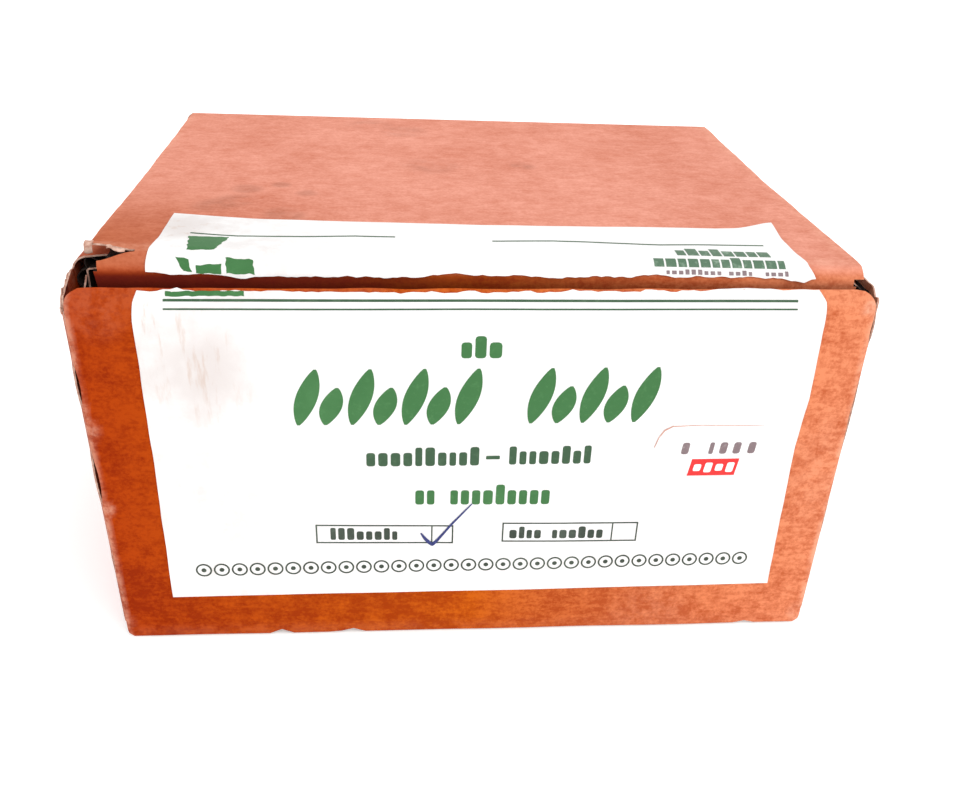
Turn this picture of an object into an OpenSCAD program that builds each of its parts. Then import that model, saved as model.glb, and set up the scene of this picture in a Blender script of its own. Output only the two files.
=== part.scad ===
// Corrugated tuck-end carton, folded from one sheet: a four-panel tube closed by a
// lid and a bottom, each with a tuck flap and two dust flaps under it, and a paper
// label that was pasted over the lid opening and torn along it.
// Origin: centre of the footprint, on the surface it stands on. +X right, front -Y, +Z up.

/* [Carton] */
// Outside width, left to right
carton_w = 152; // [110:1:200]
// Outside depth, front to back
carton_d = 122; // [110:1:160]
// Outside height, from the table to the top of the lid
carton_h = 86; // [80:1:140]
// Thickness of the corrugated board
board_t = 2.8; // [2:0.1:3.2]

/* [Front edge] */
// How far the front panel's top edge stops below the lid's top face
front_drop = 4.5; // [4:0.1:8]
// Gap between the front panel and the creases of the lid and the bottom
crease_set_back = 1; // [0.8:0.1:2]
// Height of the front panel's raw bottom edge above the table
front_lift = 0.6; // [0.3:0.1:2]

/* [Tuck flaps] */
// Length of a tuck flap, down from its crease
tuck_l = 26; // [18:1:26]
// Width of a tuck flap at its crease
tuck_w = 141; // [90:1:143]
// Sideways shift of the lid's tuck flap, which was cut a little off centre
tuck_shift = 1; // [-1.5:0.5:1.5]
// How far a tuck flap leans inwards, in degrees
tuck_lean = 7; // [7:0.5:10]
// Radius of a tuck flap's free corners
tuck_corner_r = 12; // [6:1:16]
// How much each side of a tuck flap narrows towards its free edge
tuck_taper = 2; // [0:0.5:6]

/* [Dust flaps] */
// Length of a dust flap, in from its side panel
dust_l = 32; // [15:1:34]
// Slope of a dust flap's front and back edges, in degrees
dust_slope = 20; // [20:1:30]
// Radius of a dust flap's free corners
dust_corner_r = 5; // [2:1:8]

/* [Glue flap] */
// Width of the glued joint behind the back panel
glue_w = 28; // [18:1:34]
// Slope of its top and bottom edges, in degrees
glue_slope = 12; // [5:1:20]

/* [Label] */
// Width of the pasted label
label_w = 130; // [80:1:130]
// Height of the part of the label that is left on the front
label_front_h = 70; // [50:1:72]
// Sideways shift of the label
label_shift = 1; // [-3:0.5:3]
// Depth of the strip of label that is left on the lid
label_lid_l = 22.5; // [8:0.5:30]
// Width of the price sticker
sticker_w = 24.5; // [15:0.5:30]
// Height of the price sticker
sticker_h = 12; // [8:0.5:16]
// How far the sticker's bottom edge is below the front panel's top edge
sticker_drop = 41.5; // [30:0.5:60]
// Thickness of the label's and the sticker's paper
paper_t = 0.2; // [0.1:0.05:0.4]

/* [Hidden] */

gap = 0.3;                  // between neighbouring panels that fold against each other
half_w = carton_w / 2;
half_d = carton_d / 2;
mid_z = carton_h / 2;       // the closures are mirror images about this height
wall_top = carton_h - board_t - gap;
front_top = carton_h - front_drop;
crease_y = -half_d + board_t + crease_set_back;  // front face of the lid's front crease
dust_front_y = crease_y + board_t + 4;           // leaves the tuck flap room to swing
dust_back_y = half_d - 2 * board_t - 0.9;        // clears the glue flap
torn_wander = 0.35;         // half of what the label's torn edge wanders
sticker_margin = 3.5;       // from the label's right edge

kraft = [0.78, 0.44, 0.30];
kraft_in = [0.74, 0.50, 0.36];
paper = [0.96, 0.94, 0.91];
sticker_white = [0.98, 0.97, 0.96];

// ---- shared shapes ----

// An upright wall from a plan outline
module wall(plan, z0, z1) {
  translate([0, 0, z0]) linear_extrude(z1 - z0) polygon(plan);
}

// A flap outline: root edge on X, length along +Y, free corners rounded
module flap_outline(root_w, length, in_left, in_right, corner_r) {
  intersection() {
    polygon([
      [-root_w / 2, 0], [root_w / 2, 0],
      [root_w / 2 - in_right, length], [-root_w / 2 + in_left, length]
    ]);
    union() {
      translate([-root_w / 2, 0]) square([root_w, length - corner_r]);
      translate([-root_w / 2 + in_left + corner_r, 0])
        square([root_w - in_left - in_right - 2 * corner_r, length]);
      translate([-root_w / 2 + in_left + corner_r, length - corner_r]) circle(corner_r, $fn = 48);
      translate([root_w / 2 - in_right - corner_r, length - corner_r]) circle(corner_r, $fn = 48);
    }
  }
}

// The closure that swings on the back panel's top edge; mirrored, it is the bottom
module closure_panel() {
  translate([-half_w, crease_y, carton_h - board_t])
    cube([carton_w, half_d - crease_y, board_t]);
}

// A tuck flap hanging from the closure's front crease, leaning inwards
module tuck_flap() {
  translate([0, crease_y + board_t, wall_top])
    rotate([tuck_lean, 0, 0])
      rotate([90, 0, 0])
        mirror([0, 1, 0])
          linear_extrude(board_t)
            flap_outline(tuck_w, tuck_l, tuck_taper, tuck_taper, tuck_corner_r);
}

// The right dust flap, lying just under the lid
module dust_flap() {
  root = dust_back_y - dust_front_y;
  taper = dust_l * tan(dust_slope);
  translate([half_w - board_t - gap, (dust_back_y + dust_front_y) / 2, wall_top - board_t])
    rotate([0, 0, 90])
      linear_extrude(board_t)
        flap_outline(root, dust_l, taper, taper * 0.4, dust_corner_r);
}

// ---- tube ----

module front_panel() color(kraft)
  wall([
    [-half_w, -half_d], [half_w, -half_d],
    [half_w - board_t, -half_d + board_t], [-half_w + board_t, -half_d + board_t]
  ], front_lift, front_top);

module back_panel() color(kraft)
  wall([
    [half_w, half_d], [-half_w, half_d],
    [-half_w + board_t, half_d - board_t], [half_w - board_t, half_d - board_t]
  ], carton_h - wall_top, wall_top);

module right_panel() color(kraft)
  wall([
    [half_w, -half_d], [half_w, half_d],
    [half_w - board_t, half_d - board_t], [half_w - board_t, -half_d + board_t]
  ], carton_h - wall_top, wall_top);

module left_panel() color(kraft) mirror([1, 0, 0])
  wall([
    [half_w, -half_d], [half_w, half_d],
    [half_w - board_t, half_d - board_t], [half_w - board_t, -half_d + board_t]
  ], carton_h - wall_top, wall_top);

// The manufacturer's joint: the left panel's flap, glued inside the back panel
module glue_flap() {
  root = 2 * wall_top - carton_h - 4;
  taper = glue_w * tan(glue_slope);
  color(kraft_in)
    translate([-half_w + board_t, half_d - board_t, mid_z])
      rotate([90, 0, 0]) rotate([0, 0, -90])
        linear_extrude(board_t)
          polygon([
            [-root / 2, 0], [root / 2, 0],
            [root / 2 - taper, glue_w], [-root / 2 + taper, glue_w]
          ]);
}

// ---- top closure ----

module lid_panel() color(kraft) closure_panel();
module lid_tuck_flap() color(kraft) translate([tuck_shift, 0, 0]) tuck_flap();
module top_dust_flap_right() color(kraft_in) dust_flap();
module top_dust_flap_left() color(kraft_in) mirror([1, 0, 0]) dust_flap();

// ---- bottom closure ----

module upside_down() translate([0, 0, carton_h]) mirror([0, 0, 1]) children();
module bottom_panel() color(kraft) upside_down() closure_panel();
module bottom_tuck_flap() color(kraft) upside_down() tuck_flap();
module bottom_dust_flap_right() color(kraft_in) upside_down() dust_flap();
module bottom_dust_flap_left() color(kraft_in) upside_down() mirror([1, 0, 0]) dust_flap();

// ---- label and sticker ----

// The torn edge: a line across the label that wanders by torn_wander
function torn_edge(w, y) = [
  for (i = [0:24]) [w * (0.5 - i / 24), y + torn_wander * (sin(i * 97) + sin(i * 41))]
];

module front_label() {
  top = front_top - 2 * torn_wander - 0.1;
  color(paper)
    translate([label_shift, -half_d, top]) rotate([90, 0, 0])
      linear_extrude(paper_t)
        polygon(concat(
          [[-label_w / 2, -label_front_h], [label_w / 2, -label_front_h]],
          torn_edge(label_w, 0)
        ));
}

module lid_label() color(paper)
  translate([label_shift, crease_y + 2 * torn_wander + 0.1, carton_h])
    linear_extrude(paper_t)
      polygon(concat(
        torn_edge(label_w, 0),
        [[-label_w / 2, label_lid_l], [label_w / 2, label_lid_l]]
      ));

module price_sticker() color(sticker_white)
  translate([
    label_shift + label_w / 2 - sticker_w - sticker_margin,
    -half_d - paper_t,
    front_top - sticker_drop
  ])
    rotate([90, 0, 0]) linear_extrude(paper_t) square([sticker_w, sticker_h]);

front_panel();
back_panel();
left_panel();
right_panel();
glue_flap();
lid_panel();
lid_tuck_flap();
top_dust_flap_left();
top_dust_flap_right();
bottom_panel();
bottom_tuck_flap();
bottom_dust_flap_left();
bottom_dust_flap_right();
front_label();
lid_label();
price_sticker();
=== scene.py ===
import math
import random

import bmesh
import bpy
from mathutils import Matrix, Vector, noise


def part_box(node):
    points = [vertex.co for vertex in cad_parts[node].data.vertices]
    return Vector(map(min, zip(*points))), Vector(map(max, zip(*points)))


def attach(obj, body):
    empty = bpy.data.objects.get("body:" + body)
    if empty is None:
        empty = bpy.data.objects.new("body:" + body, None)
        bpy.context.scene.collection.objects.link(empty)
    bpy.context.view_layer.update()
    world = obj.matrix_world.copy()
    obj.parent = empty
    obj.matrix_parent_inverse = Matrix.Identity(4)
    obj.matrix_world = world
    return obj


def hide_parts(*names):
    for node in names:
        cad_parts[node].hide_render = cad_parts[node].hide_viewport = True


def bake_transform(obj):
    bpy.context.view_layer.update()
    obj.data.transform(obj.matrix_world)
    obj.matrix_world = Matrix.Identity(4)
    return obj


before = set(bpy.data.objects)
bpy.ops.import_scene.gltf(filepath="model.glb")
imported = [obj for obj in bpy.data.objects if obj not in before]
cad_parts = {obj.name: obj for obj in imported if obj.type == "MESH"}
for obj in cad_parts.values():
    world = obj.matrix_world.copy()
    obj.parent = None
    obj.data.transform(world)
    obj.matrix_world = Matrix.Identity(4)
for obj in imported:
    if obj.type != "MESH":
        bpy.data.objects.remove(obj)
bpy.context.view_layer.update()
mm = 0.001


def inMm(value):
    # from millimetres to metres: a number, or all those in a list or dictionary
    if isinstance(value, dict):
        return {key: inMm(part) for key, part in value.items()}
    if isinstance(value, (list, tuple)):
        return type(value)(inMm(part) for part in value)
    return value * mm


cameraSet = {
    "place": (-15.34 * mm, -226.13 * mm, 149.28 * mm),
    "turn": (61.335, -2.056, -4.168),
    "lens": 36.216,
    "sensor": 36,
}


def makeCamera():
    bpy.ops.object.camera_add(location=cameraSet["place"])
    camera = bpy.context.object
    camera.rotation_euler = [math.radians(angle) for angle in cameraSet["turn"]]
    camera.data.lens = cameraSet["lens"]
    camera.data.sensor_width = cameraSet["sensor"]
    camera.data.clip_start = 0.01
    bpy.context.scene.camera = camera


makeCamera()
print("camera placed")

# the carton's sizes, from the frame
lidLow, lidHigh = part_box("lid_panel")
frontLow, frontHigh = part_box("front_panel")
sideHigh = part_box("right_panel")[1]
tuckLow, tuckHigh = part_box("lid_tuck_flap")
dustLow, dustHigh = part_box("top_dust_flap_right")
glueLow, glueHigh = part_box("glue_flap")

carton = {
    "halfW": lidHigh.x,
    "halfD": lidHigh.y,
    "top": lidHigh.z,
    "board": lidHigh.z - lidLow.z,
    "creaseY": lidLow.y,
    "frontTop": frontHigh.z,
    "frontLow": 0.15 * mm,
    "wallTop": sideHigh.z,
    "bend": 3.2 * mm,          # outer radius of the flaps' creases
    "corner": 1.7 * mm,        # outer radius of the upright creases
    "liner": 0.34 * mm,
    "core": 0.22 * mm,
    "flutePitch": 6.35 * mm,
    "tuckLean": 7,
    "tuckLength": 26 * mm,
    "overlap": 3.2 * mm,       # a flap's piece starts this far before its crease
}
halfW, halfD, top = carton["halfW"], carton["halfD"], carton["top"]
board, bend, creaseY = carton["board"], carton["bend"], carton["creaseY"]
frontTop, wallTop = carton["frontTop"], carton["wallTop"]
corner, overlap = carton["corner"], carton["overlap"]
rootTop = wallTop - bend - overlap        # where the dust flaps' pieces begin
quarter = bend * math.pi / 2
cornerHalf = corner * math.pi / 4

# the carton has racked a little, its walls lean and the lid is pressed down to the right
settling = inMm({
    "twist": 0.59,
    "tilt": -0.05,
    "press": 1.73,
    "lean": {-1: (-0.47, 1.47), 1: (0.4, 0.25)},
})


def smooth(low, high, x):
    t = min(1, max(0, (x - low) / (high - low)))
    return t * t * (3 - 2 * t)


def settle(p):
    x, y, up = p.x / halfW, p.y / halfD, p.z / top
    lean = settling["tilt"] * x + settling["twist"] * x * y
    pressed = smooth(72 * mm, 80 * mm, p.z) * smooth(-59.5 * mm, -58 * mm, p.y)
    pressed *= settling["press"] * x * 0.5 * (1 - y)
    side = -1 if x < 0 else 1
    low, rise = settling["lean"][side]
    return Vector((p.x + side * (low + rise * up) * x ** 4, p.y, p.z - lean * up - pressed))


def wave(x, y, size, seed=0):
    return noise.noise(Vector((x / size, y / size, seed * 7.3)))


def hump(low, high, x):
    if not low < x < high:
        return 0
    return math.sin(math.pi * (x - low) / (high - low)) ** 0.6


# where a point of each panel goes: u along the flutes, v across them, w into the board
frontCurl = {"band": 4.6 * mm, "back": 1.9 * mm, "pinch": 0.5, "sink": 0.2 * mm}


def aroundCorner(u, half, w):
    # the board is crushed thin where it turns
    over = abs(u) - (half - corner)
    crushed = smooth(-2.5 * mm, 0, over)
    w += (min(w, 0.93 * corner) - w) * crushed
    if over <= 0:
        return u, w
    turn = over / corner
    along = half - corner + (corner - w) * math.sin(turn)
    return math.copysign(along, u), corner - (corner - w) * math.cos(turn)


def onFront(u, v, w):
    curl = max(0, (v - frontTop + frontCurl["band"]) / frontCurl["band"]) ** 2
    along, deep = aroundCorner(u, halfW, w * (1 - frontCurl["pinch"] * curl))
    bulge = 0.5 * mm * math.cos(math.pi * u / (2 * halfW)) * math.sin(math.pi * v / top)
    y = -halfD + deep + frontCurl["back"] * curl - bulge * 0.6
    return Vector((along, y, v - frontCurl["sink"] * curl))


def onBack(u, v, w):
    along, deep = aroundCorner(u, halfW, w)
    return Vector((along, halfD - deep, v))


sideBelly = 0.35 * mm


def onSide(side):
    def place(u, v, w):
        along, deep = aroundCorner(u, halfD, w)
        belly = smooth(12 * mm, 36 * mm, v) * smooth(76 * mm, 52 * mm, v)
        belly = belly * smooth(halfD - 4 * mm, 20 * mm, abs(u))
        return Vector((side * (halfW - deep + sideBelly * belly), along, v))
    return place


def onLid(u, v, w):
    over = v - (halfD - bend)
    if over <= 0:
        return Vector((u, v, top - w))
    if over < quarter:
        turn = over / bend
        reach = bend - w
        back = halfD - bend + reach * math.sin(turn)
        return Vector((u, back, top - bend + reach * math.cos(turn)))
    return Vector((u, halfD - w, top - bend - (over - quarter)))


def onTuck(u, v, w):
    # v is 0 where the lid starts to turn down, and negative along the flap
    if v >= 0:
        return Vector((u, creaseY + bend + v, top - w))
    full = math.pi / 2 + math.radians(carton["tuckLean"])
    turn = min(-v / bend, full)
    rest = max(0, -v - full * bend)
    reach = bend - w
    y = creaseY + bend - reach * math.sin(turn) - rest * math.cos(turn)
    z = top - bend + reach * math.cos(turn) - rest * math.sin(turn)
    return Vector((u, y, z))


def onDust(side):
    # v is 0 where the wall starts to turn inwards
    def place(u, v, w):
        if v <= 0:
            return Vector((side * (halfW - w), u, wallTop - bend + v))
        turn = min(v / bend, math.pi / 2)
        rest = max(0, v - quarter)
        reach = bend - w
        x = halfW - bend + reach * math.cos(turn) - rest
        return Vector((side * x, u, wallTop - bend + reach * math.sin(turn)))
    return place


def onGlue(u, v, w):
    return Vector((-halfW + board + u, halfD - board - w, v))


def upsideDown(place):
    def placed(u, v, w):
        p = place(u, v, w)
        return Vector((p.x, p.y, top - p.z))
    return placed


def evenly(count):
    return [i / count for i in range(count + 1)]


def closerAtEnds(count, pull=0.75):
    return [f - pull * math.sin(2 * math.pi * f) / (2 * math.pi) for f in evenly(count)]


def selectOnly(*things):
    bpy.ops.object.select_all(action="DESELECT")
    for thing in things:
        thing.select_set(True)
    bpy.context.view_layer.objects.active = things[0]


def thicken(made, thick, rim=0):
    selectOnly(made)
    firm = made.modifiers.new("thickness", "SOLIDIFY")
    firm.thickness = thick
    firm.offset = -1
    firm.material_offset_rim = rim
    bpy.ops.object.modifier_apply(modifier=firm.name)
    return made


def sheet(name, columns, rows, outline, place, depth, thick, finishes, wear=None, skip=None):
    # outline turns a column and a row into u and v; depth says how deep in the board the face is
    across, along = len(columns) - 1, len(rows) - 1
    bpy.ops.object.select_all(action="DESELECT")
    bpy.ops.mesh.primitive_grid_add(x_subdivisions=across, y_subdivisions=along, size=2)
    made = bpy.context.object
    made.name = made.data.name = name
    mesh = made.data
    worn = mesh.attributes.new("wear", "FLOAT", "POINT")
    spots = []
    for vert in mesh.vertices:
        column = columns[round((vert.co.x + 1) / 2 * across)]
        row = rows[round((vert.co.y + 1) / 2 * along)]
        u, v = outline(column, row)
        spots.append((u, v))
        vert.co = settle(place(u, v, depth(u, v)))
        worn.data[vert.index].value = wear(u, v) if wear else 0
    mesh.update()
    centres = []
    for face in mesh.polygons:
        corners = [spots[i] for i in face.vertices]
        centres.append((sum(c[0] for c in corners) / 4, sum(c[1] for c in corners) / 4))
    middle = len(centres) // 2 + across // 2
    u, v = centres[middle]
    inward = place(u, v, depth(u, v) + mm) - place(u, v, depth(u, v))
    if mesh.polygons[middle].normal.dot(inward) > 0:
        mesh.flip_normals()
    if skip:
        shape = bmesh.new()
        shape.from_mesh(mesh)
        gone = [face for face in shape.faces if skip(*centres[face.index])]
        bmesh.ops.delete(shape, geom=gone, context="FACES")
        shape.to_mesh(mesh)
        shape.free()
    for finish in finishes:
        mesh.materials.append(finish)
    return thicken(made, thick, len(finishes) - 1)


smoothAngle = 38                  # sharper edges stay creased


def joined(name, parts):
    selectOnly(*parts)
    if len(parts) > 1:
        bpy.ops.object.join()
    whole = parts[0]
    whole.name = whole.data.name = name
    bpy.ops.object.shade_smooth_by_angle(angle=math.radians(smoothAngle))
    return whole


def boardPiece(name, columns, rows, outline, place, coreRows, coreInset,
               finish, relief=None, wear=None, skip=None, innerSkip=None, innerOutline=None):
    # two liners with a wavy sheet between them
    liner, core = carton["liner"], carton["core"]
    swing = (board - 2 * liner - core) / 2
    inner = innerOutline or outline

    def face(u, v):
        return relief(u, v) if relief else 0

    def backDepth(u, v):
        return board - liner

    def coreDepth(u, v):
        return (board - core) / 2 + swing * math.sin(2 * math.pi * v / carton["flutePitch"])

    def coreOutline(column, row):
        low, high = inner(columns[0], row)[0], inner(columns[-1], row)[0]
        u, v = inner(column, row)
        middle = (low + high) / 2
        return middle + (u - middle) * (1 - 2 * coreInset / (high - low)), v

    fewer = columns if innerSkip else columns[:-1:3] + columns[-1:]
    parts = [
        sheet(name, columns, rows, outline, place, face, liner, [finish, rawEdge], wear, skip),
        sheet(name + "Inner", fewer, rows, inner, place, backDepth, liner, [plainKraft, rawEdge],
              None, innerSkip),
        sheet(name + "Core", fewer, coreRows, coreOutline, place, coreDepth, core, [fluting],
              None, innerSkip),
    ]
    return joined(name, parts)


def rowsBetween(low, high, step):
    count = max(2, round((high - low) / step))
    return [low + (high - low) * f for f in evenly(count)]


def ridesOn(piece, body, slotName, *nodes):
    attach(piece, body)
    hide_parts(*nodes)


def bendsBetween(piece, fixed, moving, start, end, slotName, *nodes):
    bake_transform(piece)
    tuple(start)
    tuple(end)
    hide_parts(*nodes)


class Wire:
    # a socket that takes part in sums
    def __init__(self, paint, socket):
        self.paint, self.socket = paint, socket

    def sum(self, operation, first, second):
        return self.paint.add("ShaderNodeMath", {"operation": operation}, {0: first, 1: second})

    def __add__(self, other):
        return self.sum("ADD", self, other)

    def __radd__(self, other):
        return self.sum("ADD", other, self)

    def __sub__(self, other):
        return self.sum("SUBTRACT", self, other)

    def __rsub__(self, other):
        return self.sum("SUBTRACT", other, self)

    def __mul__(self, other):
        return self.sum("MULTIPLY", self, other)

    def __rmul__(self, other):
        return self.sum("MULTIPLY", other, self)


class Paint:
    def __init__(self, name, roughness):
        self.material = bpy.data.materials.new(name)
        self.material.use_nodes = True
        self.tree = self.material.node_tree
        self.shader = next(n for n in self.tree.nodes if n.type == "BSDF_PRINCIPLED")
        self.shader.inputs["Roughness"].default_value = roughness

    def add(self, kind, settings=None, links=None, out=0):
        node = self.tree.nodes.new(kind)
        for key, value in (settings or {}).items():
            if key == "stops":
                ramp = node.color_ramp
                while len(ramp.elements) < len(value):
                    ramp.elements.new(0.5)
                for element, (place, colour) in zip(ramp.elements, value):
                    element.position = place
                    element.color = (*colour, 1)
            else:
                setattr(node, key, value)
        for key, value in (links or {}).items():
            socket = node.inputs[key]
            if isinstance(value, Wire):
                self.tree.links.new(value.socket, socket)
            else:
                socket.default_value = value
        return Wire(self, node.outputs[out])

    def where(self):
        return self.add("ShaderNodeTexCoord", out="Object")

    def wear(self):
        return self.add("ShaderNodeAttribute", {"attribute_name": "wear"}, None, "Fac")

    def axes(self, place):
        node = self.add("ShaderNodeSeparateXYZ", None, {0: place}).socket.node
        return [Wire(self, socket) for socket in node.outputs]

    def noise(self, place, scale, detail=2.0, roughness=0.5):
        links = {"Vector": place, "Scale": scale, "Detail": detail, "Roughness": roughness}
        return self.add("ShaderNodeTexNoise", None, links, "Fac")

    def stretched(self, place, scale):
        return self.add("ShaderNodeMapping", None, {"Vector": place, "Scale": scale})

    def ranged(self, value, low, high, start=0.0, end=1.0):
        links = {"Value": value, "From Min": low, "From Max": high, "To Min": start, "To Max": end}
        return self.add("ShaderNodeMapRange", {"interpolation_type": "SMOOTHSTEP"}, links)

    def mix(self, amount, first, second, blend="MIX"):
        settings = {"data_type": "RGBA", "blend_type": blend}
        node = self.add("ShaderNodeMix", settings).socket.node
        for key, value in ((0, amount), (6, first), (7, second)):
            if isinstance(value, Wire):
                self.tree.links.new(value.socket, node.inputs[key])
            elif key == 0:
                node.inputs[key].default_value = value
            else:
                node.inputs[key].default_value = (*value, 1)
        return Wire(self, node.outputs[2])

    def spot(self, place, centre, radius, soft=0.6):
        # 1 inside a ball round centre, fading to 0 at its radius
        away = self.add("ShaderNodeVectorMath", {"operation": "DISTANCE"}, {0: place, 1: centre}, 1)
        return self.ranged(away, radius * (1 - soft), radius, 1.0, 0.0)

    def colour(self, value):
        self.tree.links.new(value.socket, self.shader.inputs["Base Color"])

    def bump(self, height, distance, strength=1.0):
        links = {"Height": height, "Distance": distance, "Strength": strength}
        bumped = self.add("ShaderNodeBump", None, links)
        self.tree.links.new(bumped.socket, self.shader.inputs["Normal"])

    def rough(self, value):
        self.tree.links.new(value.socket, self.shader.inputs["Roughness"])


kraftLook = {
    # left, middle and right hold painted shade: the board is darker and deeper orange to the left and
    # paler to the right
    "left": (0.33, 0.031, 0.0015),
    "middle": (0.47, 0.078, 0.004),
    "right": (0.64, 0.185, 0.085),
    "back": (0.52, 0.125, 0.05),
    # the lid is paler, partly its own faded tone and partly painted light from above; the next tone is
    # painted shade towards the lid's front left corner
    "lid": (0.70, 0.27, 0.188),
    "lidCornerShade": (0.45, 0.11, 0.045),
    "rubbed": (0.80, 0.43, 0.30),
    "grime": (0.20, 0.075, 0.045),
    # painted shade for the lid's front crease
    "paintedShade": (0.10, 0.008, 0.006),
    "hollow": (0.78, 0.62, 0.52),
    "raised": (1.18, 1.38, 1.5),
    "rough": 0.82,
    "grains": {                # scale, detail, roughness, top of the range used, share
        "cloudy": (26, 4, 0.6, 0.72, 0.22),
        "blotchy": (75, 3, 0.65, 0.7, 0.16),
        "fibres": (1, 3, 0.6, 0.7, 0.18),
        "mottled": (260, 4, 0.7, 0.7, 0.24),
        "fleck": (1500, 2, 0.6, 0.7, 0.20),
    },
    "fibreScale": {"X": (300, 1100, 1100), "Y": (1100, 300, 1100)},
}


def kraftPaint(name, along):
    look = kraftLook
    paint = Paint(name, look["rough"])
    paint.shader.inputs["Specular IOR Level"].default_value = 0.04
    place = paint.where()
    x, y, z = paint.axes(place)
    # painted shade across the walls, darkest at the left end
    spread = {"Value": x, "From Min": -halfW, "From Max": halfW}
    across = paint.add("ShaderNodeMapRange", None, spread)
    tones = [(0.0, look["left"]), (0.5, look["middle"]), (1.0, look["right"])]
    wallToneAndShade = paint.add("ShaderNodeValToRGB", {"stops": tones}, {0: across})
    wallToneAndShade = paint.mix(paint.ranged(y, -35 * mm, 45 * mm), wallToneAndShade, look["back"])
    # painted shade on the lid, darker towards its front left corner
    shadedLidCorner = paint.spot(place, (-76 * mm, creaseY, top), 62 * mm, 1.0)
    lidToneAndShade = paint.mix(shadedLidCorner, look["lid"], look["lidCornerShade"])
    tone = paint.mix(paint.ranged(z, top - 3.4 * mm, top - 0.6 * mm), wallToneAndShade, lidToneAndShade)
    grains, shade = {}, None
    for kind, (scale, detail, rough, high, share) in look["grains"].items():
        at = paint.stretched(place, look["fibreScale"][along]) if kind == "fibres" else place
        grains[kind] = paint.noise(at, scale, detail, rough)
        part = paint.ranged(grains[kind], 0.3, high) * share
        shade = shade + part if shade else part
    blotchy, fibres, mottled, fleck = list(grains.values())[1:]
    shade = (shade - 0.5) * paint.ranged(z, top - 5 * mm, top - mm, 2.6, 1.1) + 0.5
    dark = paint.mix(1.0, tone, look["hollow"], "MULTIPLY")
    light = paint.mix(1.0, tone, look["raised"], "MULTIPLY")
    body = paint.mix(shade, dark, light)
    wear = paint.wear()
    rub = wear * paint.ranged(mottled, 0.36, 0.6, 0.2, 1.0)
    body = paint.mix(rub, body, look["rubbed"])
    for *lengths, strength in lidSmudges:
        right, deep, radius = inMm(lengths)
        mark = paint.spot(place, (right, deep, top), radius)
        mark = mark * paint.ranged(blotchy, 0.35, 0.62) * strength
        body = paint.mix(mark, body, look["grime"])
    # painted shade in the gap at the lid's front crease, darkest to the left
    crease = paint.ranged(z, top - 1.8 * mm, top - 3.8 * mm) * paint.ranged(z, 77 * mm, 80 * mm)
    crease = crease * paint.ranged(y, -58.9 * mm, -58.4 * mm)
    crease = crease * paint.ranged(y, -54.6 * mm, -55.4 * mm)
    body = paint.mix(crease * paint.ranged(x, 60 * mm, -50 * mm, 0.15, 0.9), body, look["paintedShade"])
    paint.colour(body)
    height = fibres * 0.5 + fleck * 0.3 + blotchy * 0.6
    paint.bump(height, 0.12 * mm, 0.55)
    paint.rough(paint.ranged(blotchy, 0.2, 0.8, 0.72, 0.92))
    return paint.material


# across, along and radius in mm of the lid's dirty marks, and their strength
lidSmudges = [
    (-24, 48, 9, 0.22),
    (-15.5, 43, 9, 0.25),
    (-8, 8, 9, 0.22),
    (14, 10, 5, 0.36),
    (-35.5, -17, 3.5, 0.28),
    (-42, -11, 3, 0.28),
    (-49, -15, 4.5, 0.3),
    (-39, -32, 6, 0.35),
    (-50, -24, 6, 0.3),
    (-54, -28, 6, 0.3),
]
# the two open front corners, where painted shade darkens the inside
openCorners = inMm([(-70.2, -56.4, 81.5), (73.4, -57.4, 81.5)])


def plainPaint(name, dark, light, scale, rough, bumpScale=900, bumpHeight=0.08, paintedShade=(0, 0)):
    paint = Paint(name, rough)
    place = paint.where()
    grain = paint.noise(place, scale, 4, 0.6)
    fine = paint.noise(place, bumpScale, 3, 0.6)
    both = paint.ranged(grain, 0.3, 0.7) * 0.6 + paint.ranged(fine, 0.3, 0.7) * 0.4
    body = paint.mix(both, dark, light)
    # painted shade, nearly black, round the open corners where the inside lies in shadow
    for centre, radius in zip(openCorners, paintedShade):
        if radius:
            cornerShade = paint.spot(place, centre, radius, 0.35)
            body = paint.mix(cornerShade, body, (0.02, 0.008, 0.005))
    paint.colour(body)
    paint.bump(fine, bumpHeight * mm, 0.5)
    return paint.material


def paperPaint():
    paint = Paint("labelPaper", 0.6)
    place = paint.where()
    clean, cream, brown = (0.88, 0.875, 0.87), (0.66, 0.605, 0.585), (0.52, 0.34, 0.24)
    cloudy = paint.noise(place, 30, 4, 0.6)
    scratchy = paint.noise(paint.stretched(place, (500, 500, 90)), 1, 4, 0.65)
    fine = paint.noise(place, 1800, 3, 0.6)
    x, y, z = paint.axes(place)
    mottled = paint.noise(place, 220, 4, 0.7)
    old = paint.ranged(x, -66 * mm, 4 * mm, 0.75, 0.22) * paint.ranged(mottled, 0.34, 0.66)
    body = paint.mix(paint.ranged(cloudy, 0.42, 0.75) * 0.25 + old * 0.6, clean, cream)
    for centre, radius, strength in paperStains:
        stain = paint.spot(place, centre, radius, 0.8) * strength
        body = paint.mix(stain * paint.ranged(cloudy, 0.3, 0.6), body, cream)
        body = paint.mix(stain * paint.ranged(scratchy, 0.54, 0.7) * 0.4, body, brown)
    wear = paint.wear()
    body = paint.mix(wear * paint.ranged(scratchy, 0.4, 0.62) * 0.8, body, cream)
    paint.colour(body)
    paint.bump(fine * 0.5 + cloudy * 2, 0.06 * mm, 0.5)
    return paint.material


paperStains = [                   # centre, radius and strength of the brown marks on the label
    ((-54 * mm, -halfD, 66 * mm), 16 * mm, 1.0),
    ((-61 * mm, -halfD, 74 * mm), 9 * mm, 1.0),
    ((-58 * mm, creaseY + 14 * mm, top), 11 * mm, 0.8),
    ((-20 * mm, -halfD, 30 * mm), 30 * mm, 0.15),
]


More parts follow.
